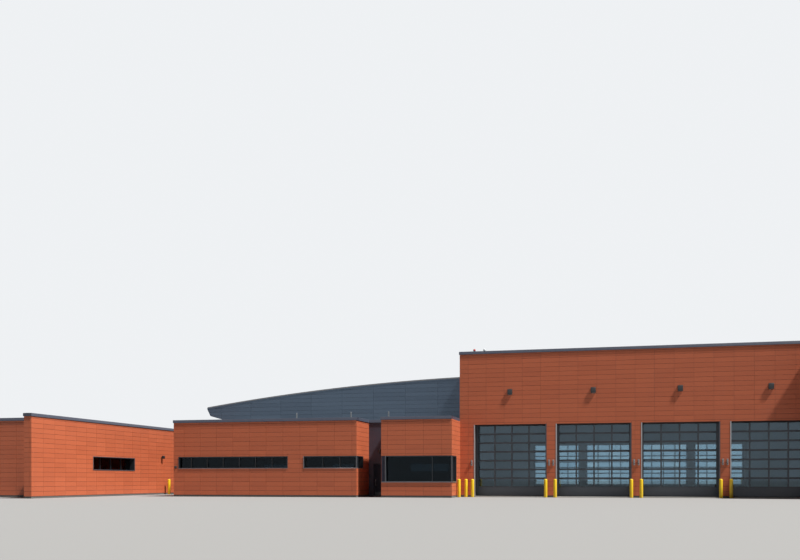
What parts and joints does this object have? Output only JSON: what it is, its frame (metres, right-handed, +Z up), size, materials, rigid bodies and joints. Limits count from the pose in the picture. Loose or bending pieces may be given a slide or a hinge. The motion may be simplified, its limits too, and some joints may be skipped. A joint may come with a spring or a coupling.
{
  "type": "fire station building, 1:2 scale model",
  "caption": "Low modern fire station with a tall engine bay of glazed sectional doors, a curved metal hall and panel-clad office blocks.",
  "frame": {"origin": "centre of the whole footprint at ground level", "axes": "+X to the right along the door front, +Y from the fronts towards the rear, +Z up"},
  "size_m": [30.06, 26.285, 5.02],
  "materials": {
    "wall_panels": "terracotta orange coated panels, satin",
    "hall_siding": "blue-grey ribbed siding, matt",
    "coping_metal": "dark grey folded metal, satin",
    "recess_siding": "dark grey ribbed siding, matt",
    "roof_membrane": "pale grey roofing sheet",
    "concrete": "trowelled concrete",
    "door_metal": "dark blue-grey coated aluminium, satin",
    "window_metal": "dark anodised aluminium, satin",
    "light_metal": "clear anodised, satin",
    "leaf_paint": "near-black door paint, satin",
    "lamp_black": "black lamp housing, satin",
    "guard_yellow": "safety yellow sleeve",
    "beacon_red": "red lens",
    "vent_metal": "galvanised pipe",
    "clear_glass": "tinted insulating glass"
  },
  "bodies": {
    "building": {"bay_coping": "coping_metal", "bay_door_glass": "clear_glass", "bay_floor": "concrete", "bay_front_door_1": "door_metal", "bay_front_door_2": "door_metal", "bay_front_door_3": "door_metal", "bay_front_door_4": "door_metal", "bay_headers": "wall_panels", "bay_jamb_trims": "light_metal", "bay_left_wall": "wall_panels", "bay_piers": "wall_panels", "bay_rear_doors": "door_metal", "bay_right_wall": "wall_panels", "bay_roof": "roof_membrane", "bay_signal_lights": "light_metal", "bay_wall_lights": "lamp_black", "bollards": "guard_yellow", "ground_floor": "concrete", "hall_belly": "hall_siding", "hall_roof": "coping_metal", "hall_walls": "hall_siding", "link_front_wall": "wall_panels", "low_coping": "coping_metal", "low_roof": "roof_membrane", "office_front_wall": "wall_panels", "office_side_walls": "wall_panels", "office_window_frames": "window_metal", "office_window_glass": "clear_glass", "rear_wall": "wall_panels", "recess_door_frame": "leaf_paint", "recess_head_wall": "recess_siding", "recess_side_walls": "recess_siding", "recess_threshold": "concrete", "roof_beacons": "beacon_red", "roof_vents": "vent_metal", "side_window_frames": "window_metal", "side_window_glass": "clear_glass", "small_wall_lights": "lamp_black", "watch_front_wall": "wall_panels", "watch_side_walls": "wall_panels", "watch_sill": "light_metal", "watch_window_frame": "window_metal", "watch_window_glass": "clear_glass", "watch_window_infill": "recess_siding", "wing_front_wall": "wall_panels", "wing_left_wall": "wall_panels", "wing_right_wall": "wall_panels"},
    "recess_leaf": {"recess_door": "leaf_paint", "recess_door_handle": "light_metal"}
  },
  "joints": [
    {"name": "recess_door_swing", "type": "hinge", "parent": "building", "child": "recess_leaf", "pos_m": [0.8875, -7.2185, 0.57], "axis": [0, 0, 1], "range_deg": [0, 100]}
  ]
}
